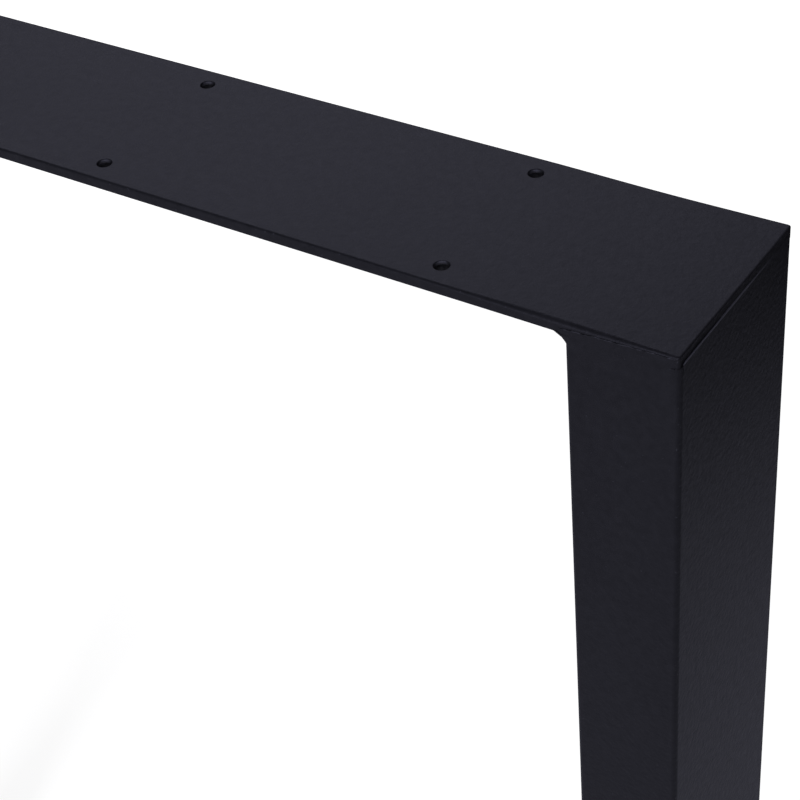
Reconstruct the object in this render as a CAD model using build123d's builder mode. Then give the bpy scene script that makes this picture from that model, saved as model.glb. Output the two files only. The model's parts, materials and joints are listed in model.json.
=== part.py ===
from build123d import *
import os

os.makedirs("parts", exist_ok=True)

# Driving dimensions in millimetres: +X runs along the flat bar, +Z is up and the floor is at zero
frame_width = 600.0  # over the outer faces of the two uprights
frame_height = 720.0  # from the floor to the face that carries the table top
frame_depth = 80.0  # width of the flat bar and of the wide side of the tubes

# Flat bar
plate_thickness = 4.5
plate_edge_radius = 1.2  # rolled long edges
plate_corner_radius = 2.0  # upright corners, ground to follow the tube
plate_end_inset = 0.4  # ledge left on the tube at each saw cut end
plate_side_inset = 0.25  # how far the bar is narrower than the tube, at front and back

# Screw holes in the flat bar
hole_diameter = 5.5
hole_edge_distance = 9.25  # from a long edge to the hole's axis
hole_end_distance = 90.0  # from the tube's outer face to the outer pair
hole_pair_pitch = 142.0  # from the outer pair to the inner pair
hole_edge_break = 0.3

# Rectangular tubes
tube_width = 40.0  # narrow side, along the flat bar
tube_wall = 1.5
tube_bore_radius = 0.5  # inner corners of the section

# Hollow fillet weld under the flat bar
weld_reach = 4.0  # along the bar
weld_drop = 3.0  # down the tube
weld_hollow = 0.45  # how far its face dips below a straight one
weld_end_radius = 1.2  # where its ends are ground flush with the tube

# Weld ground flush with the tube, at front and back
seam_inner_rise = 2.3  # how far it climbs the bar's side, next to the inner weld
seam_outer_rise = 3.2  # the same, at the bar's end
seam_overrun = 2.0  # how far it passes the tube's inner face, over the inner weld
seam_lip = 0.4  # height of its sloping upper edge

# Plug in the lower end of each tube
foot_thickness = 3.0
foot_edge_radius = 0.8
plug_depth = 20.0  # how far it reaches into the tube
plug_wall = 1.8
plug_corner_radius = 2.0
plug_clearance = 0.1  # between the ribs and the bore
rib_count = 3
rib_height = 1.2
rib_thickness = 1.6
rib_pitch = 5.5
rib_taper = 20.0  # degrees, so that the plug slides in

# Sizes and places that follow from them
tube_corner_radius = tube_bore_radius + tube_wall
tube_top = frame_height - plate_thickness
leg_centre = (frame_width - tube_width) / 2
leg_inner_face = frame_width / 2 - tube_width
seam_inner_end = leg_inner_face - seam_overrun
seam_outer_end = frame_width / 2 - tube_corner_radius
plate_length = frame_width - 2 * plate_end_inset
plate_width = frame_depth - 2 * plate_side_inset
outer_pair_spacing = frame_width - 2 * hole_end_distance
inner_pair_spacing = outer_pair_spacing - 2 * hole_pair_pitch
hole_row_spacing = plate_width - 2 * hole_edge_distance
rib_width = tube_width - 2 * tube_wall - 2 * plug_clearance
rib_depth = frame_depth - 2 * tube_wall - 2 * plug_clearance

# Flat bar: the rolled section runs the whole length, and its ends are trimmed to a rounded outline
with BuildPart() as top_plate:
    with BuildSketch(Plane.YZ.offset(-plate_length / 2)):
        with Locations((0, tube_top + plate_thickness / 2)):
            RectangleRounded(plate_width, plate_thickness, plate_edge_radius)
    extrude(amount=plate_length)
    with BuildSketch(Plane.XY.offset(tube_top)):
        RectangleRounded(plate_length, plate_width, plate_corner_radius)
    extrude(amount=plate_thickness, mode=Mode.INTERSECT)
    with Locations(Plane.XY.offset(frame_height)):
        with GridLocations(outer_pair_spacing, hole_row_spacing, 2, 2):
            Hole(hole_diameter / 2)
        with GridLocations(inner_pair_spacing, hole_row_spacing, 2, 2):
            Hole(hole_diameter / 2)
    flat_faces = top_plate.faces().filter_by(Axis.Z)
    hole_edges = [wire.edges() for face in flat_faces for wire in face.inner_wires()]
    chamfer(hole_edges, hole_edge_break)

top_plate.part.label = "top_plate"
export_step(top_plate.part, "parts/top_plate.step")

for name, side in (("left", -1), ("right", 1)):
    leg_foot = Plane((side * leg_centre, 0, 0))
    weld_root = Vector(side * leg_inner_face, tube_top)
    weld_plate_toe = weld_root - Vector(side * weld_reach, 0)
    weld_tube_toe = weld_root - Vector(0, weld_drop)
    weld_mid_chord = (weld_plate_toe + weld_tube_toe) / 2
    weld_mid_face = weld_mid_chord + (weld_root - weld_mid_chord).normalized() * weld_hollow

    # Upright tube, from the foot plug to the underside of the flat bar
    with BuildPart() as leg_tube:
        with BuildSketch(leg_foot.offset(foot_thickness)):
            RectangleRounded(tube_width, frame_depth, tube_corner_radius)
            offset(amount=-tube_wall, mode=Mode.SUBTRACT)
        extrude(amount=tube_top - foot_thickness)
    leg_tube.part.label = f"{name}_leg_tube"
    export_step(leg_tube.part, f"parts/{name}_leg_tube.step")

    # Fillet weld on the inner side, which runs out along the tube's rounded corners
    with BuildPart() as inner_weld:
        with BuildSketch(Plane.XZ):
            with BuildLine():
                ThreePointArc(weld_plate_toe, weld_mid_face, weld_tube_toe)
                behind_face = Vector(side * tube_corner_radius, 0)
                Polyline(
                    weld_tube_toe,
                    weld_tube_toe + behind_face - Vector(0, weld_drop),
                    weld_root + behind_face,
                    weld_plate_toe,
                )
            make_face()
        extrude(amount=frame_depth / 2, both=True)
        end_edges = inner_weld.faces().filter_by(Axis.Y).edges()
        square_edges = end_edges.filter_by(Axis.X) + end_edges.filter_by(Axis.Z)
        fillet(end_edges - square_edges, weld_end_radius)
        with BuildSketch(leg_foot):
            RectangleRounded(tube_width, frame_depth, tube_corner_radius)
        extrude(amount=tube_top, mode=Mode.SUBTRACT)
    inner_weld.part.label = f"{name}_inner_weld"
    export_step(inner_weld.part, f"parts/{name}_inner_weld.step")

    # Weld metal ground flush with the tube, filling the seams under the bar's rolled edges
    with BuildPart() as seam_welds:
        for seam_end, seam_rise in ((seam_inner_end, seam_inner_rise), (seam_outer_end, seam_outer_rise)):
            with BuildSketch(Plane.YZ.offset(side * seam_end)):
                with BuildLine():
                    tube_edge = Vector(-frame_depth / 2, tube_top)
                    bar_side = Vector(-plate_width / 2, tube_top)
                    edge_start = bar_side + Vector(0, plate_edge_radius)
                    edge_end = bar_side + Vector(plate_edge_radius, 0)
                    TangentArc(edge_start, edge_end, tangent=(0, -1))
                    Polyline(
                        edge_end,
                        tube_edge,
                        tube_edge + Vector(0, seam_rise - seam_lip),
                        bar_side + Vector(0, seam_rise),
                        edge_start,
                    )
                make_face()
        loft()
        mirror(about=Plane.XZ)
    seam_welds.part.label = f"{name}_seam_welds"
    export_step(seam_welds.part, f"parts/{name}_seam_welds.step")

    # Foot plug: a pad under the tube's end, and a hollow ribbed body inside it
    with BuildPart() as foot_plug:
        with BuildSketch(leg_foot):
            RectangleRounded(tube_width, frame_depth, tube_corner_radius)
        extrude(amount=foot_thickness)
        fillet(foot_plug.faces().sort_by(Axis.Z)[0].edges(), foot_edge_radius)
        with BuildSketch(leg_foot.offset(foot_thickness)):
            RectangleRounded(rib_width - 2 * rib_height, rib_depth - 2 * rib_height, plug_corner_radius)
        extrude(amount=plug_depth)
        for rib in range(rib_count):
            with BuildSketch(leg_foot.offset(foot_thickness + (rib + 0.5) * rib_pitch)):
                RectangleRounded(rib_width, rib_depth, plug_corner_radius)
            extrude(amount=rib_thickness, taper=rib_taper)
        with BuildSketch(leg_foot.offset(foot_thickness)):
            RectangleRounded(rib_width - 2 * rib_height, rib_depth - 2 * rib_height, plug_corner_radius)
            offset(amount=-plug_wall, mode=Mode.REPLACE)
        extrude(amount=plug_depth, mode=Mode.SUBTRACT)
    foot_plug.part.label = f"{name}_foot_plug"
    export_step(foot_plug.part, f"parts/{name}_foot_plug.step")
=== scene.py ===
import json
import math

import bmesh
import bpy
from mathutils import Matrix, Vector, noise


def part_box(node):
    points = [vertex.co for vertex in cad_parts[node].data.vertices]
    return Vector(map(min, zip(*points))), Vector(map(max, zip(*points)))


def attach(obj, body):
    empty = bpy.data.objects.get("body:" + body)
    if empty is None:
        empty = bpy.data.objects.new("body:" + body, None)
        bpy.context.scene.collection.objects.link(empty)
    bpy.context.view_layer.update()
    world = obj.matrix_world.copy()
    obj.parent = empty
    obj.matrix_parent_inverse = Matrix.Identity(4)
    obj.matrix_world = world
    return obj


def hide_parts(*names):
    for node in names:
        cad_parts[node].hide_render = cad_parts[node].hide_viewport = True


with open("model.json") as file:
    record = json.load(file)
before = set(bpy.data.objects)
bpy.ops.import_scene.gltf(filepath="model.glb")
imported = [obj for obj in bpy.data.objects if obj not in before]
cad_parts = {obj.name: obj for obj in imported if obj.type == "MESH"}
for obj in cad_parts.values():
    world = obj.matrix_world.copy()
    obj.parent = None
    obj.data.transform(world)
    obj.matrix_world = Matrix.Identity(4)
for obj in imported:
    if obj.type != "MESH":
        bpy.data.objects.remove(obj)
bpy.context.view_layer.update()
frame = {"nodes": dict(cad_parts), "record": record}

bl_info = {
    "name": "Welded table leg frame",
    "version": (1, 0, 0),
    "blender": (4, 5, 0),
    "location": "View3D > Sidebar > Leg Frame",
    "description": "Dresses a welded steel table leg frame in its powder coat, welds and foot plugs",
    "category": "Object",
}

MM = 0.001
SIDES = (("left", -1), ("right", 1))
MOUNTS = {mount["name"]: mount for mount in frame["record"]["mounts"]}
BAR_LOW, BAR_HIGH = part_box("top_plate")
BEAD_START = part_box("right_inner_weld")[0].x
ROUNDING = "bevel_weight_edge"
# Point attribute for worn coat and for painted highlights.
RUBBED_AND_HIGHLIGHT = "rubbed_and_highlight"
COAT_NAME = "textured_coat"
BLACK = (0.0, 0.0, 0.0, 1.0)
WHITE = (1.0, 1.0, 1.0, 1.0)

# Places closer than this are taken as one.
TOUCHING = 0.01 * MM
# Edges that fold by more than this are corners of a piece.
CORNER_FOLD = math.radians(60.0)
# Edges that fold by less than this are shaded smooth.
SMOOTH_FOLD = math.radians(40.0)
# Name, place and size in metres, and power in watts of each lamp, and where they all point.
LAMPS = (
    ("back_lamp", (-0.643, 1.46, 2.014), 1.0, 8.0),
    ("side_lamp", (-1.26, 0.843, 2.014), 1.0, 7.5),
    ("front_lamp", (0.2, -1.98, 0.878), 0.7, 35.0),
)
LAMP_AIM = Vector((0.2, 0.0, 0.6))


def length(name, description, millimetres):
    """A length property, shown in the scene's units."""
    return bpy.props.FloatProperty(
        name=name, description=description, default=millimetres * MM, unit="LENGTH", precision=5
    )


def angle(name, description, degrees):
    """An angle property."""
    return bpy.props.FloatProperty(
        name=name, description=description, default=math.radians(degrees), unit="ROTATION", precision=5
    )


def colour(name, description, red, green, blue):
    """An opaque colour property."""
    return bpy.props.FloatVectorProperty(
        name=name, description=description, subtype="COLOR", size=4, default=(red, green, blue, 1.0)
    )


class FrameSizes(bpy.types.PropertyGroup):
    """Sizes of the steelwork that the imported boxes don't give"""

    rolled_edge: length("Rolled edge", "Radius of the flat bar's long edges", 0.8)
    rolled_end: length("Rolled end", "Length over which the lower edges get square next to the welds", 8.0)
    bar_corner: length("Bar corner", "Radius of the flat bar's upright corners", 1.3)
    ground_edge: length("Ground edge", "Radius of the long edges where the grinder widened them", 2.1)
    ground_middle: length("Ground middle", "Distance of that place from the bar's end", 43.0)
    ground_half: length("Ground half length", "Half the length of that place", 43.0)
    end_edge: length("End edge", "Softened upper edges of the bar's saw cut ends", 0.35)
    end_skew: length("End skew", "How far the saw cut ends are out of square", 0.38)
    skew_run: length("Skew run", "Length of the slanting middle of those ends", 50.0)
    cut_edge: length("Cut edge", "Softened edges of drilled holes and tube feet", 0.3)
    ledge_edge: length("Ledge edge", "Softened edge of the tubes' tops at the bar's ends", 0.4)
    ledge_rise: length("Ledge rise", "How far weld metal raises those edges", 1.3)
    tube_wall: length("Tube wall", "Wall of the rectangular tubes", 1.5)
    tube_corner: length("Tube corner", "Outer corner radius of the rectangular tubes", 2.0)
    bead_drop: length("Bead drop", "How far the inner weld reaches down the tube", 3.0)
    bead_hollow: length("Bead hollow", "How far the inner weld's face dips below a straight one", 0.45)
    bead_end: length("Bead end", "Radius at the ends of the inner weld, which are ground", 1.2)
    ripple_pitch: length("Ripple pitch", "Distance between the inner weld's ripples", 2.2)
    ripple_height: length("Ripple height", "Height of the inner weld's ripples", 0.12)
    seam_lip: length("Seam lip", "Mean height of the ground weld's sloping upper edge", 0.15)
    seam_end: length("Seam end", "Length over which the ground weld's ends die away", 1.5)
    seam_climb: length("Seam climb", "Length over which its upper edge climbs onto the bar's rounding", 14.0)
    # The light line along the ground weld's upper edge is partly coat worn thin and partly a painted
    # highlight.
    seam_rub_and_highlight: length("Seam rub", "Height of the rubbed line along the ground weld's upper edge", 0.3)
    seam_wander: length("Seam wander", "How far the ground weld's upper edge wanders", 0.35)


class FrameColours(bpy.types.PropertyGroup):
    """Colours of the finishes and of the stage"""

    coat: colour("Coat", "Powder coat", 0.008, 0.008, 0.0088)
    # Light tone of worn coat and dust specks, also used for painted highlights on edges and hole walls.
    rubbed_and_highlight: colour("Rubbed", "Coat worn thin along its edges", 0.1, 0.1, 0.115)
    plug: colour("Plug", "Moulded plastic of the foot plugs", 0.014, 0.014, 0.015)
    floor: colour("Floor", "Pale studio floor, neutral under the cool lamps", 0.7, 0.7, 0.56)
    light: colour("Light", "Cool daylight of the studio lamps", 0.79, 0.79, 1.0)


class FrameView(bpy.types.PropertyGroup):
    """Place and lens of the camera"""

    lens: bpy.props.FloatProperty(
        name="Lens", description="Focal length in millimetres", default=87.334, unit="CAMERA"
    )
    azimuth: angle("Azimuth", "Turn of the camera about the vertical", 36.702)
    elevation: angle("Elevation", "Downward tilt of the camera", 38.707)
    roll: angle("Roll", "Turn of the camera about its own axis", -5.926)
    beside: length("Beside", "Camera's distance along the bar from the near corner", 203.26)
    before: length("Before", "Camera's distance in front of the near corner", 413.38)
    above: length("Above", "Camera's height over the near corner", 358.32)


class Wire:
    """An output socket of a node tree. Arithmetic on it adds Math nodes to that tree."""

    def __init__(self, tree, socket=None):
        self.tree = tree
        self.socket = socket

    def add(self, kind, settings, sockets, output=0):
        """Adds a node, sets it up and returns one of its outputs."""
        node = self.tree.nodes.new(kind)
        for name, value in settings.items():
            setattr(node, name, value)
        for name, value in sockets.items():
            if isinstance(value, Wire):
                self.tree.links.new(value.socket, node.inputs[name])
            else:
                node.inputs[name].default_value = value
        return Wire(self.tree, node.outputs[output] if node.outputs else None)

    def math(self, operation, *values):
        """Adds a Math node and returns its value."""
        return self.add("ShaderNodeMath", {"operation": operation}, dict(enumerate(values)))

    def __add__(self, other):
        return self.math("ADD", self, other)

    def __mul__(self, other):
        return self.math("MULTIPLY", self, other)

    __radd__ = __add__
    __rmul__ = __mul__


def new_tree(owner):
    """Empties the node tree of a material or a world and returns it."""
    owner.use_nodes = True
    owner.node_tree.nodes.clear()
    return Wire(owner.node_tree)


def shade_of(tone, factor):
    """A colour made lighter or darker, still opaque."""
    return (tone[0] * factor, tone[1] * factor, tone[2] * factor, 1.0)


def coordinate(tree, place, letter):
    """One coordinate of a place, by its letter."""
    return tree.add("ShaderNodeSeparateXYZ", {}, {"Vector": place}, letter)


def soft_noise(tree, place, scale, detail):
    """Noise with its scale per metre."""
    return tree.add("ShaderNodeTexNoise", {}, {"Vector": place, "Scale": scale, "Detail": detail})


def ramp(tree, value, start, end, first=0.0, last=1.0):
    """Goes from the first level to the last while a value goes from start to end, and stays level outside."""
    limits = {"From Min": start, "From Max": end, "To Min": first, "To Max": last}
    return tree.add("ShaderNodeMapRange", {}, {"Value": value, **limits})


def mixed(tree, share, first, second):
    """A colour between two others."""
    return tree.add("ShaderNodeMix", {"data_type": "RGBA"}, {0: share, 6: first, 7: second}, 2)


def ledge_highlight_mask(tree, place, rise):
    """One on the tubes' upper edges at the bar's ends, fading towards the back: where a highlight along those
    edges is painted on.
    """
    past_bar = BAR_HIGH.x + 0.1 * MM
    line_middle = BAR_LOW.z + rise - 0.2 * MM
    line_half = 0.4 * MM
    fade_start = 5.0 * MM
    fade_end = 30.0 * MM
    at_end = tree.math("GREATER_THAN", tree.math("ABSOLUTE", coordinate(tree, place, "X")), past_bar)
    at_top = tree.math("COMPARE", coordinate(tree, place, "Z"), line_middle, line_half)
    fade = ramp(tree, coordinate(tree, place, "Y"), fade_end, fade_start)
    return at_end * at_top * fade


def hole_glint_band(tree, place):
    """One at the height of the screw holes' upper walls, away from the bar's long sides, where a glint is
    painted on.
    """
    side_strip = 5.0 * MM
    wall_middle = BAR_HIGH.z - 0.9 * MM
    wall_half = 0.6 * MM
    from_middle = tree.math("ABSOLUTE", coordinate(tree, place, "Y"))
    inside = tree.math("LESS_THAN", from_middle, BAR_HIGH.y - side_strip)
    return inside * tree.math("COMPARE", coordinate(tree, place, "Z"), wall_middle, wall_half)


def powder_coat_material(coat, rubbed_and_highlight, rise):
    """Matt coat with a fine grain over a gentle orange peel, worn thin along some edges and with light dust
    specks. It has painted highlights on the tubes' upper edges at the bar's ends and on the screw holes'
    upper walls, and a light line along the ground welds' upper edges that is partly worn coat and partly a
    painted highlight.
    """
    darkest = shade_of(coat, 0.2)
    lightest = shade_of(coat, 1.8)
    # Share of the light tone along the weld's upper edge: worn coat and painted highlight.
    seam_wear_and_highlight = 0.3
    ledge_highlight = 0.7
    speck_wear = 0.2
    smoothest = 0.34
    material = bpy.data.materials.new(COAT_NAME)
    tree = new_tree(material)
    place = tree.add("ShaderNodeTexCoord", {}, {}, "Object")
    grain = soft_noise(tree, place, 2400.0, 2.0)
    peel = soft_noise(tree, place, 520.0, 1.0)
    cloud = soft_noise(tree, place, 24.0, 3.0)
    mottle = soft_noise(tree, place, 300.0, 2.0)
    dust = soft_noise(tree, place, 1300.0, 0.0)
    speck = ramp(tree, dust, 0.815, 0.865)
    patchy = ramp(tree, peel, 0.4, 0.55)
    rub_and_highlight = tree.add("ShaderNodeAttribute", {"attribute_name": RUBBED_AND_HIGHLIGHT}, {}, "Fac")
    tone = mixed(tree, cloud * 0.3 + mottle * 0.5 + grain * 0.2, darkest, lightest)
    # Lighter tone from worn coat and dust specks, with painted highlights along the weld's upper edge and on
    # the holes' upper walls.
    wear_and_highlights = rub_and_highlight * (patchy * seam_wear_and_highlight + hole_glint_band(tree, place)) + speck * speck_wear
    # Painted highlight along the tubes' upper edges at the bar's ends.
    wear_and_highlights = wear_and_highlights + ledge_highlight_mask(tree, place, rise) * ledge_highlight
    relief = tree.add(
        "ShaderNodeBump",
        {},
        {"Strength": 0.7, "Distance": 0.12 * MM, "Height": grain * 0.6 + peel * 1.4},
    )
    surface = tree.add(
        "ShaderNodeBsdfPrincipled",
        {},
        {
            "Base Color": mixed(tree, wear_and_highlights, tone, tuple(rubbed_and_highlight)),
            "Roughness": grain * 0.12 + mottle * 0.12 + smoothest,
            "Specular IOR Level": 0.1,
            "Specular Tint": (0.92, 0.92, 1.0, 1.0),
            "Normal": relief,
        },
    )
    tree.add("ShaderNodeOutputMaterial", {}, {"Surface": surface})
    return material


def plug_material(plug):
    """Moulded plastic with a fine sand texture."""
    darkest = shade_of(plug, 0.8)
    lightest = shade_of(plug, 1.3)
    smoothest = 0.5
    material = bpy.data.materials.new("moulded_plastic")
    tree = new_tree(material)
    place = tree.add("ShaderNodeTexCoord", {}, {}, "Object")
    sand = soft_noise(tree, place, 1600.0, 2.0)
    tone = mixed(tree, sand, darkest, lightest)
    relief = tree.add("ShaderNodeBump", {}, {"Strength": 0.3, "Distance": 0.1 * MM, "Height": sand})
    surface = tree.add(
        "ShaderNodeBsdfPrincipled",
        {},
        {"Base Color": tone, "Roughness": sand * 0.2 + smoothest, "Normal": relief},
    )
    tree.add("ShaderNodeOutputMaterial", {}, {"Surface": surface})
    return material


def floor_material(tone, light):
    """Matt floor, white to the camera apart from shadows. Gloss sees it even, to a soft line at the back."""
    backwards = (0.743, 0.669, 0.0)
    line_start = 0.865
    line_end = 1.045
    even_tone = shade_of(light, 0.58)
    near_lift = 0.68
    near_reach = 0.7
    white_from = 2.0
    material = bpy.data.materials.new("pale_floor")
    tree = new_tree(material)
    seen = tree.add("ShaderNodeLightPath", {}, {}, "Is Camera Ray")
    mirrored = tree.add("ShaderNodeLightPath", {}, {}, "Is Glossy Ray")
    place = tree.add("ShaderNodeTexCoord", {}, {}, "Object")
    behind = tree.add("ShaderNodeVectorMath", {"operation": "DOT_PRODUCT"}, {0: place, 1: backwards}, "Value")
    distance = tree.add("ShaderNodeVectorMath", {"operation": "LENGTH"}, {0: place}, "Value")
    lift_level = ramp(tree, distance, near_reach, white_from, near_lift, 1.0)
    matt = tree.add("ShaderNodeBsdfDiffuse", {}, {"Color": tuple(tone)})
    lift = tree.add("ShaderNodeEmission", {}, {"Color": mixed(tree, seen * lift_level, BLACK, WHITE)})
    white = tree.add("ShaderNodeAddShader", {}, {0: matt, 1: lift})
    reach = ramp(tree, behind, line_end, line_start)
    even = tree.add("ShaderNodeEmission", {}, {"Color": mixed(tree, reach, BLACK, even_tone)})
    both = tree.add("ShaderNodeMixShader", {}, {0: mirrored, 1: white, 2: even})
    tree.add("ShaderNodeOutputMaterial", {}, {"Surface": both})
    return material


def coat_finish():
    """The powder coat, made on its first use."""
    colours = bpy.context.scene.frame_colours
    rise = bpy.context.scene.frame_sizes.ledge_rise
    return bpy.data.materials.get(COAT_NAME) or powder_coat_material(colours.coat, colours.rubbed_and_highlight, rise)


def new_shape():
    """An empty mesh whose edges can be marked for rounding, and its points as worn or for a painted
    highlight.
    """
    shape = bmesh.new()
    shape.edges.layers.float.new(ROUNDING)
    shape.verts.layers.float.new(RUBBED_AND_HIGHLIGHT)
    return shape


def mark_rounding(shape, edge, share):
    """Marks an edge for rounding, as a share of the piece's full radius."""
    edge[shape.edges.layers.float[ROUNDING]] = share


def is_upright(edge):
    """True if an edge runs mostly up and down."""
    across = edge.verts[0].co - edge.verts[1].co
    return abs(across.z) > 0.5 * across.length


def lies_at(edge, axis, value):
    """True if both ends of an edge have that coordinate."""
    return all(abs(vert.co[axis] - value) < TOUCHING for vert in edge.verts)


def is_corner(edge):
    """True if the faces on both sides of an edge meet at a corner of the piece."""
    return edge.calc_face_angle(0.0) > CORNER_FOLD


def keep_sharp(shape):
    """Leaves the edges that aren't rounded sharp under smooth shading."""
    shares = shape.edges.layers.float[ROUNDING]
    for edge in shape.edges:
        edge.smooth = edge[shares] > 0.0 or edge.calc_face_angle(0.0) < SMOOTH_FOLD


def add_piece(name, shape, node):
    """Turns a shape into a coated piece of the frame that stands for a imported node."""
    bmesh.ops.recalc_face_normals(shape, faces=shape.faces[:])
    keep_sharp(shape)
    for face in shape.faces:
        face.smooth = True
    mesh = bpy.data.meshes.new(name)
    shape.to_mesh(mesh)
    shape.free()
    mesh.materials.append(coat_finish())
    piece = bpy.data.objects.new(name, mesh)
    bpy.context.scene.collection.objects.link(piece)
    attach(piece, "root")
    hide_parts(node)
    return piece


def round_edges(piece, radius, segments):
    """Rounds the marked edges and keeps the flats between them flat."""
    rounding = piece.modifiers.new("rounded_edges", "BEVEL")
    rounding.limit_method = "WEIGHT"
    rounding.width = radius
    rounding.segments = segments
    rounding.profile = 0.5
    rounding.use_clamp_overlap = False
    rounding.harden_normals = True


def add_rectangle(shape, low, high, height):
    """A flat rectangle between two corners at that height."""
    middle = (low + high) / 2
    span = high - low
    place = Matrix.Translation((middle.x, middle.y, height)) @ Matrix.Diagonal((span.x, span.y, 1, 1))
    bmesh.ops.create_grid(shape, x_segments=1, y_segments=1, size=0.5, matrix=place)


def carry(shape, faces, move):
    """Extrudes flat faces along a straight line into a closed solid."""
    carried = bmesh.ops.extrude_face_region(shape, geom=faces, use_keep_orig=True)
    verts = [part for part in carried["geom"] if isinstance(part, bmesh.types.BMVert)]
    bmesh.ops.translate(shape, vec=move, verts=verts)


def add_strip(shape, outline, move, steps):
    """Carries a closed outline along a straight line in equal steps."""
    corners = [shape.verts.new(point) for point in outline]
    section = bmesh.ops.contextual_create(shape, geom=corners)["faces"]
    carry(shape, section, move)
    rails = [edge for corner in corners for edge in corner.link_edges if edge.calc_length() > move.length / 2]
    bmesh.ops.subdivide_edges(shape, edges=rails, cuts=steps - 1, use_grid_fill=True)


def screw_hole_places():
    """Axis of each screw hole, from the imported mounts."""
    for name in ("outer_screw_holes", "inner_screw_holes"):
        dims = MOUNTS[name]["dims"]
        for x_side in (-0.5, 0.5):
            for y_side in (-0.5, 0.5):
                yield x_side * dims["spacing_x_mm"] * MM, y_side * dims["spacing_y_mm"] * MM


def cut_across(shape, axis, values):
    """Cuts a shape along planes at these coordinates."""
    across = Vector(float(axis == way) for way in range(3))
    for value in sorted(set(values)):
        everything = shape.verts[:] + shape.edges[:] + shape.faces[:]
        bmesh.ops.bisect_plane(shape, geom=everything, plane_co=across * value, plane_no=across)


def draw_circle(verts, centre, radius):
    """Moves points straight in or out onto a circle."""
    for vert in verts:
        vert.co = centre + (vert.co - centre).normalized() * radius


def open_hole(shape, place, radius, lip):
    """Turns the square cell round a place into rings of faces round a hole."""
    side_cuts = 11
    cell = min(shape.faces, key=lambda face: (face.calc_center_median().xy - Vector(place)).length)
    centre = cell.calc_center_median()
    bmesh.ops.inset_region(shape, faces=[cell], thickness=lip, use_even_offset=True)
    sides = cell.edges[:]
    bmesh.ops.delete(shape, geom=[cell], context="FACES_ONLY")
    split = bmesh.ops.subdivide_edges(shape, edges=sides, cuts=side_cuts)["geom_split"]
    rim = [part for part in split if isinstance(part, bmesh.types.BMEdge)]
    draw_circle({vert for edge in rim for vert in edge.verts}, centre, radius + lip)
    inner = bmesh.ops.extrude_edge_only(shape, edges=rim)["geom"]
    draw_circle([part for part in inner if isinstance(part, bmesh.types.BMVert)], centre, radius)


def paint_hole_glint(shape, place, radius):
    """Marks one side of a hole's wall, the side that faces the light, for a painted glint."""
    # Side of the holes' walls where the glint is painted, the side facing the light.
    glint_side = Vector((-0.67, 0.74))
    wall_reach = 1.05 * radius
    narrowing = 4
    for vert in shape.verts:
        from_axis = vert.co.xy - Vector(place)
        if from_axis.length < wall_reach:
            facing = max(0.0, from_axis.normalized().dot(glint_side))
            vert[shape.verts.layers.float[RUBBED_AND_HIGHLIGHT]] = facing ** narrowing


def ground_rounding(sizes, along):
    """Radius of the bar's long upper edges, which is larger next to the welds."""
    from_middle = BAR_HIGH.x - abs(along) - sizes.ground_middle
    ground = max(0.0, 1.0 - (from_middle / sizes.ground_half) ** 2) ** 2
    return sizes.rolled_edge + (sizes.ground_edge - sizes.rolled_edge) * ground


def edge_rounding(sizes, edge):
    """Radius of an edge of the flat bar, whose lower edges are square on the tubes."""
    along = (edge.verts[0].co.x + edge.verts[1].co.x) / 2
    on_side = lies_at(edge, 1, BAR_LOW.y) or lies_at(edge, 1, BAR_HIGH.y)
    on_end = lies_at(edge, 0, BAR_LOW.x) or lies_at(edge, 0, BAR_HIGH.x)
    if on_side and on_end:
        return sizes.bar_corner
    before_weld = min(max((BEAD_START - abs(along)) / sizes.rolled_end, 0.0), 1.0)
    if on_end:
        return sizes.end_edge if lies_at(edge, 2, BAR_HIGH.z) else 0.0
    if not on_side:
        return sizes.cut_edge
    if lies_at(edge, 2, BAR_LOW.z):
        return sizes.rolled_edge * before_weld
    return ground_rounding(sizes, along)


def end_slant(sizes, across):
    """How far along the slant of a saw cut end a place is, from zero at the front to one at the back."""
    return min(max(0.5 + across / sizes.skew_run, 0.0), 1.0)


class LEGFRAME_OT_flat_bar(bpy.types.Operator):
    """Flat bar with rolled long edges, saw cut ends and drilled screw holes"""

    bl_idname = "leg_frame.flat_bar"
    bl_label = "Flat bar"

    def execute(self, context):
        sizes = context.scene.frame_sizes
        hole_radius = MOUNTS["outer_screw_holes"]["dims"]["hole_r_mm"] * MM
        cell_half = 2 * hole_radius - sizes.cut_edge
        widest = max(sizes.bar_corner, sizes.ground_edge)
        middle = BAR_HIGH.x - sizes.ground_middle
        ground_steps = 12
        places = list(screw_hole_places())
        shape = new_shape()
        add_rectangle(shape, BAR_LOW, BAR_HIGH, BAR_HIGH.z)
        bmesh.ops.inset_region(
            shape, faces=shape.faces[:], thickness=2 * widest, use_boundary=True, use_even_offset=True
        )
        for axis in (0, 1):
            cut_across(shape, axis, [place[axis] + way * cell_half for place in places for way in (-1, 1)])
        steps = [step / ground_steps * sizes.ground_half for step in range(1 - ground_steps, ground_steps)]
        for way in (-1, 1):
            cut_across(shape, 0, [way * (middle + step) for step in steps])
        for place in places:
            open_hole(shape, place, hole_radius, 2 * sizes.cut_edge)
        carry(shape, shape.faces[:], Vector((0, 0, BAR_LOW.z - BAR_HIGH.z)))
        # Painted glints on one side of each hole's wall.
        for place in places:
            paint_hole_glint(shape, place, hole_radius)
        for edge in shape.edges:
            if is_corner(edge):
                mark_rounding(shape, edge, edge_rounding(sizes, edge) / widest)
        for vert in shape.verts:
            if abs(vert.co.x) > BAR_HIGH.x - sizes.cut_edge:
                vert.co.x += math.copysign(end_slant(sizes, vert.co.y) * sizes.end_skew, vert.co.x)
        bar = add_piece("flat_bar", shape, "top_plate")
        round_edges(bar, widest, segments=10)
        return {"FINISHED"}


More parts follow.
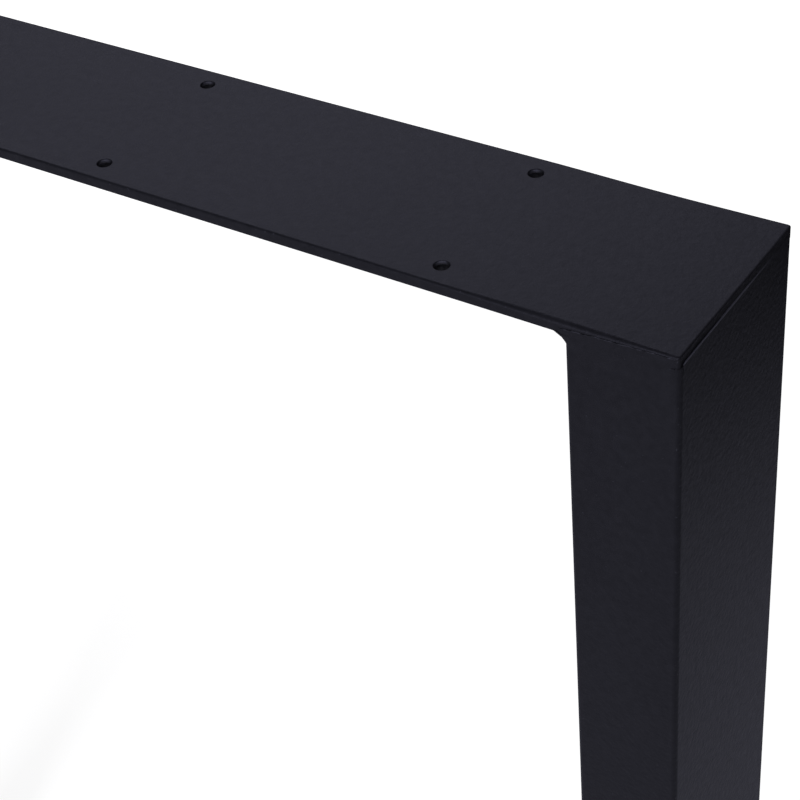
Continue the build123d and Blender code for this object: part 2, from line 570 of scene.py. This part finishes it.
class LEGFRAME_OT_leg_tubes(bpy.types.Operator):
    """Upright rectangular tubes with rounded corners"""

    bl_idname = "leg_frame.leg_tubes"
    bl_label = "Leg tubes"

    def execute(self, context):
        sizes = context.scene.frame_sizes
        bore_share = (sizes.tube_corner - sizes.tube_wall) / sizes.tube_corner
        cut_share = sizes.cut_edge / sizes.tube_corner
        ledge_share = sizes.ledge_edge / sizes.tube_corner
        ledge_cuts = (-0.9, -0.6, -0.3, 0.0, 0.3, 0.6, 0.9)
        for name, side in SIDES:
            low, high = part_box(f"{name}_leg_tube")
            outer_face = high.x if side > 0 else low.x
            ledge_half = ledge_cuts[-1] * high.y
            shape = new_shape()
            add_rectangle(shape, low, high, low.z)
            bore = shape.faces[:]
            bmesh.ops.inset_region(
                shape, faces=bore, thickness=sizes.tube_wall, use_boundary=True, use_even_offset=True
            )
            bmesh.ops.delete(shape, geom=bore, context="FACES_ONLY")
            carry(shape, shape.faces[:], Vector((0, 0, high.z - low.z)))
            cut_across(shape, 1, [share * high.y for share in ledge_cuts])
            cut_across(shape, 2, [low.z + 2 * sizes.tube_corner, high.z - 2 * sizes.tube_corner])
            for edge in shape.edges:
                outside = any(lies_at(edge, axis, end[axis]) for axis in (0, 1) for end in (low, high))
                if is_upright(edge) and is_corner(edge):
                    mark_rounding(shape, edge, 1.0 if outside else bore_share)
                elif outside and lies_at(edge, 2, low.z) and is_corner(edge):
                    mark_rounding(shape, edge, cut_share)
                elif lies_at(edge, 0, outer_face) and lies_at(edge, 2, high.z):
                    across = (edge.verts[0].co.y + edge.verts[1].co.y) / 2
                    if abs(across) < ledge_half:
                        mark_rounding(shape, edge, ledge_share * (1.0 - end_slant(sizes, across)))
            for vert in shape.verts:
                on_outer_wall = abs(vert.co.x - outer_face) < sizes.tube_wall + TOUCHING
                between_corners = abs(vert.co.y) < ledge_half + TOUCHING
                if on_outer_wall and between_corners and abs(vert.co.z - high.z) < TOUCHING:
                    vert.co.z += sizes.ledge_rise
            tube = add_piece(f"{name}_tube", shape, f"{name}_leg_tube")
            round_edges(tube, sizes.tube_corner, segments=8)
        return {"FINISHED"}


class LEGFRAME_OT_inner_beads(bpy.types.Operator):
    """Hollow fillet welds under the bar, with the ripples of their making and ground ends"""

    bl_idname = "leg_frame.inner_beads"
    bl_label = "Inner weld beads"

    def execute(self, context):
        sizes = context.scene.frame_sizes
        face_points = 9
        ripple_steps = 8
        ripple_bow = 1.4
        ripple_wander = 0.25
        wander_scale = 120.0
        wander_row = 7.0
        calm_end = 4 * sizes.bead_end
        past_face = 1.01
        for name, side in SIDES:
            low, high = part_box(f"{name}_inner_weld")
            tube_low, tube_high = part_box(f"{name}_leg_tube")
            root = Vector((tube_low.x if side > 0 else tube_high.x, low.y, high.z))
            bar_toe = Vector((low.x if side > 0 else high.x, low.y, high.z))
            tube_toe = root - Vector((0, 0, sizes.bead_drop))
            inward = (root - (bar_toe + tube_toe) / 2).normalized()
            behind = Vector((side * sizes.tube_wall, 0, 0))
            outline = []
            for index in range(face_points):
                share = index / (face_points - 1)
                dip = 4 * share * (1 - share) * sizes.bead_hollow
                outline.append(bar_toe.lerp(tube_toe, share) + inward * dip)
            outline.append(tube_toe + behind - Vector((0, 0, sizes.tube_wall)))
            outline.append(root + behind)
            run = Vector((0, high.y - low.y, 0))
            shape = new_shape()
            add_strip(shape, outline, run, round(run.y / sizes.ripple_pitch * ripple_steps))
            for vert in shape.verts:
                share = (vert.co.x - bar_toe.x) / (tube_toe.x - bar_toe.x)
                on_face = math.sin(math.pi * min(max(share, 0.0), 1.0))
                to_end = min(vert.co.y - low.y, high.y - vert.co.y)
                wander = noise.noise((vert.co.y * wander_scale, side * wander_row, 0.0))
                bow = ripple_bow * (share - 0.5) ** 2
                phase = vert.co.y / sizes.ripple_pitch + bow + ripple_wander * wander
                fade = min(to_end / calm_end, 1.0)
                lift = sizes.ripple_height * (0.5 - (phase % 1.0) ** 2) * on_face * fade
                cut = max(1.0 - to_end / sizes.bead_end, 0.0)
                if share > past_face and to_end < sizes.tube_corner:
                    vert.co.x += side * (sizes.tube_corner - sizes.tube_wall)
                elif share < past_face:
                    lift -= sizes.bead_end * (1.0 - math.sqrt(1.0 - cut * cut))
                    vert.co -= inward * lift
            add_piece(f"{name}_inner_bead", shape, f"{name}_inner_weld")
        return {"FINISHED"}


class LEGFRAME_OT_ground_seams(bpy.types.Operator):
    """Weld metal ground flush with the tubes at front and back, with a ragged upper edge"""

    bl_idname = "leg_frame.ground_seams"
    bl_label = "Ground seams"

    def execute(self, context):
        sizes = context.scene.frame_sizes
        steps = 120
        wander_scale = 260.0
        wander_steps = 3
        wander_top = 0.4
        slope_scale = 180.0
        noise_row = 5.0
        slope_row = 3.0
        climb_share = 0.25
        least_rise = 0.1
        for name, side in SIDES:
            low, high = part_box(f"{name}_seam_welds")
            run = Vector((high.x - low.x, 0, 0))
            shape = new_shape()
            for face_y, bar_y in ((low.y, BAR_LOW.y), (high.y, BAR_HIGH.y)):
                root_y = bar_y - math.copysign(sizes.rolled_edge, bar_y)
                outline = (
                    Vector((low.x, face_y, low.z)),
                    Vector((low.x, face_y, high.z - sizes.seam_rub_and_highlight)),
                    Vector((low.x, face_y, high.z)),
                    Vector((low.x, root_y, high.z)),
                    Vector((low.x, root_y, low.z)),
                )
                add_strip(shape, outline, run, steps)
            for vert in shape.verts:
                row = math.copysign(noise_row, vert.co.y)
                outside = abs(vert.co.y) > BAR_HIGH.y
                from_start = vert.co.x - low.x if side > 0 else high.x - vert.co.x
                to_end = min(from_start, run.x - from_start)
                if vert.co.z > (low.z + high.z) / 2:
                    drop = high.z - vert.co.z
                    wander = noise.fractal((vert.co.x * wander_scale, row, side), 1.0, 2.0, wander_steps)
                    slope = noise.noise((vert.co.x * slope_scale, row, side + slope_row))
                    climb = 1.0 - climb_share * min(from_start / sizes.seam_climb, 1.0)
                    vert.co.z = BAR_HIGH.z - ground_rounding(sizes, vert.co.x) * climb - drop
                    vert.co.z += sizes.seam_wander * (min(wander, wander_top) - wander_top)
                    vert.co.z -= sizes.seam_lip * (1.0 + slope) if outside else 0.0
                    # Light line along the weld's upper edge, partly worn coat and partly a painted highlight.
                    vert[shape.verts.layers.float[RUBBED_AND_HIGHLIGHT]] = 1.0 - drop / sizes.seam_rub_and_highlight
                if outside:
                    rise = least_rise + (1.0 - least_rise) * min(to_end / sizes.seam_end, 1.0)
                    vert.co.y = math.copysign(BAR_HIGH.y + rise * (high.y - BAR_HIGH.y), vert.co.y)
            add_piece(f"{name}_ground_seams", shape, f"{name}_seam_welds")
        return {"FINISHED"}


class LEGFRAME_OT_foot_plugs(bpy.types.Operator):
    """Finish of the moulded plugs in the feet of the tubes"""

    bl_idname = "leg_frame.foot_plugs"
    bl_label = "Foot plugs"

    def execute(self, context):
        plastic = plug_material(context.scene.frame_colours.plug)
        for name, _ in SIDES:
            for slot in frame["nodes"][f"{name}_foot_plug"].material_slots:
                slot.material = plastic
        return {"FINISHED"}


def add_floor(tone, light):
    """A wide pale floor."""
    half_side = 6.0
    shape = bmesh.new()
    bmesh.ops.create_grid(shape, x_segments=1, y_segments=1, size=half_side)
    mesh = bpy.data.meshes.new("floor")
    shape.to_mesh(mesh)
    shape.free()
    mesh.materials.append(floor_material(tone, light))
    floor = bpy.data.objects.new("floor", mesh)
    bpy.context.scene.collection.objects.link(floor)


def add_lamp(name, tone, place, size, power):
    """A square studio lamp that faces the frame."""
    lamp = bpy.data.lights.new(name, "AREA")
    lamp.color = tone[:3]
    lamp.size = size
    lamp.energy = power
    holder = bpy.data.objects.new(name, lamp)
    holder.location = place
    holder.rotation_euler = (LAMP_AIM - Vector(place)).to_track_quat("-Z", "Y").to_euler()
    bpy.context.scene.collection.objects.link(holder)


def add_surroundings(light):
    """White to the camera, and a low even light to the object."""
    low_light = shade_of(light, 0.3)
    world = bpy.data.worlds.new("studio")
    tree = new_tree(world)
    seen = tree.add("ShaderNodeLightPath", {}, {}, "Is Camera Ray")
    glow = tree.add("ShaderNodeBackground", {}, {"Color": mixed(tree, seen, low_light, WHITE)})
    tree.add("ShaderNodeOutputWorld", {}, {"Surface": glow})
    bpy.context.scene.world = world


def add_camera(view):
    """A camera placed from the near corner of the bar's right end."""
    camera = bpy.data.objects.new("camera", bpy.data.cameras.new("camera"))
    camera.data.lens = view.lens
    place = Vector((BAR_HIGH.x + view.beside, BAR_LOW.y - view.before, BAR_HIGH.z + view.above))
    turn = Matrix.Rotation(view.azimuth, 4, "Z")
    tilt = Matrix.Rotation(math.pi / 2 - view.elevation, 4, "X")
    roll = Matrix.Rotation(view.roll, 4, "Z")
    camera.matrix_world = Matrix.Translation(place) @ turn @ tilt @ roll
    bpy.context.scene.collection.objects.link(camera)
    bpy.context.scene.camera = camera


class LEGFRAME_OT_studio(bpy.types.Operator):
    """Pale floor, soft lamps, surroundings and camera"""

    bl_idname = "leg_frame.studio"
    bl_label = "Studio"

    def execute(self, context):
        context.scene.view_settings.view_transform = "Standard"
        light = context.scene.frame_colours.light
        add_floor(context.scene.frame_colours.floor, light)
        for name, place, size, power in LAMPS:
            add_lamp(name, light, place, size, power)
        add_surroundings(light)
        add_camera(context.scene.frame_view)
        return {"FINISHED"}


OPERATORS = (
    LEGFRAME_OT_flat_bar,
    LEGFRAME_OT_leg_tubes,
    LEGFRAME_OT_inner_beads,
    LEGFRAME_OT_ground_seams,
    LEGFRAME_OT_foot_plugs,
    LEGFRAME_OT_studio,
)


class LEGFRAME_PT_panel(bpy.types.Panel):
    """Lists the pieces of the leg frame and their settings"""

    bl_idname = "LEGFRAME_PT_panel"
    bl_label = "Leg Frame"
    bl_space_type = "VIEW_3D"
    bl_region_type = "UI"
    bl_category = "Leg Frame"

    def draw(self, context):
        for operator in OPERATORS:
            self.layout.operator(operator.bl_idname)
        for group in (context.scene.frame_sizes, context.scene.frame_colours, context.scene.frame_view):
            for name in group.__annotations__:
                self.layout.prop(group, name)


CLASSES = (FrameSizes, FrameColours, FrameView, *OPERATORS, LEGFRAME_PT_panel)


def register():
    """Registers the classes and the scene's settings."""
    for item in CLASSES:
        bpy.utils.register_class(item)
    bpy.types.Scene.frame_sizes = bpy.props.PointerProperty(type=FrameSizes)
    bpy.types.Scene.frame_colours = bpy.props.PointerProperty(type=FrameColours)
    bpy.types.Scene.frame_view = bpy.props.PointerProperty(type=FrameView)


def unregister():
    """Takes the settings and the classes away again."""
    del bpy.types.Scene.frame_view
    del bpy.types.Scene.frame_colours
    del bpy.types.Scene.frame_sizes
    for item in reversed(CLASSES):
        bpy.utils.unregister_class(item)


def main():
    """Builds every piece and the stage."""
    register()
    bpy.ops.leg_frame.flat_bar()
    bpy.ops.leg_frame.leg_tubes()
    bpy.ops.leg_frame.inner_beads()
    bpy.ops.leg_frame.ground_seams()
    bpy.ops.leg_frame.foot_plugs()
    bpy.ops.leg_frame.studio()


if __name__ == "__main__":
    main()
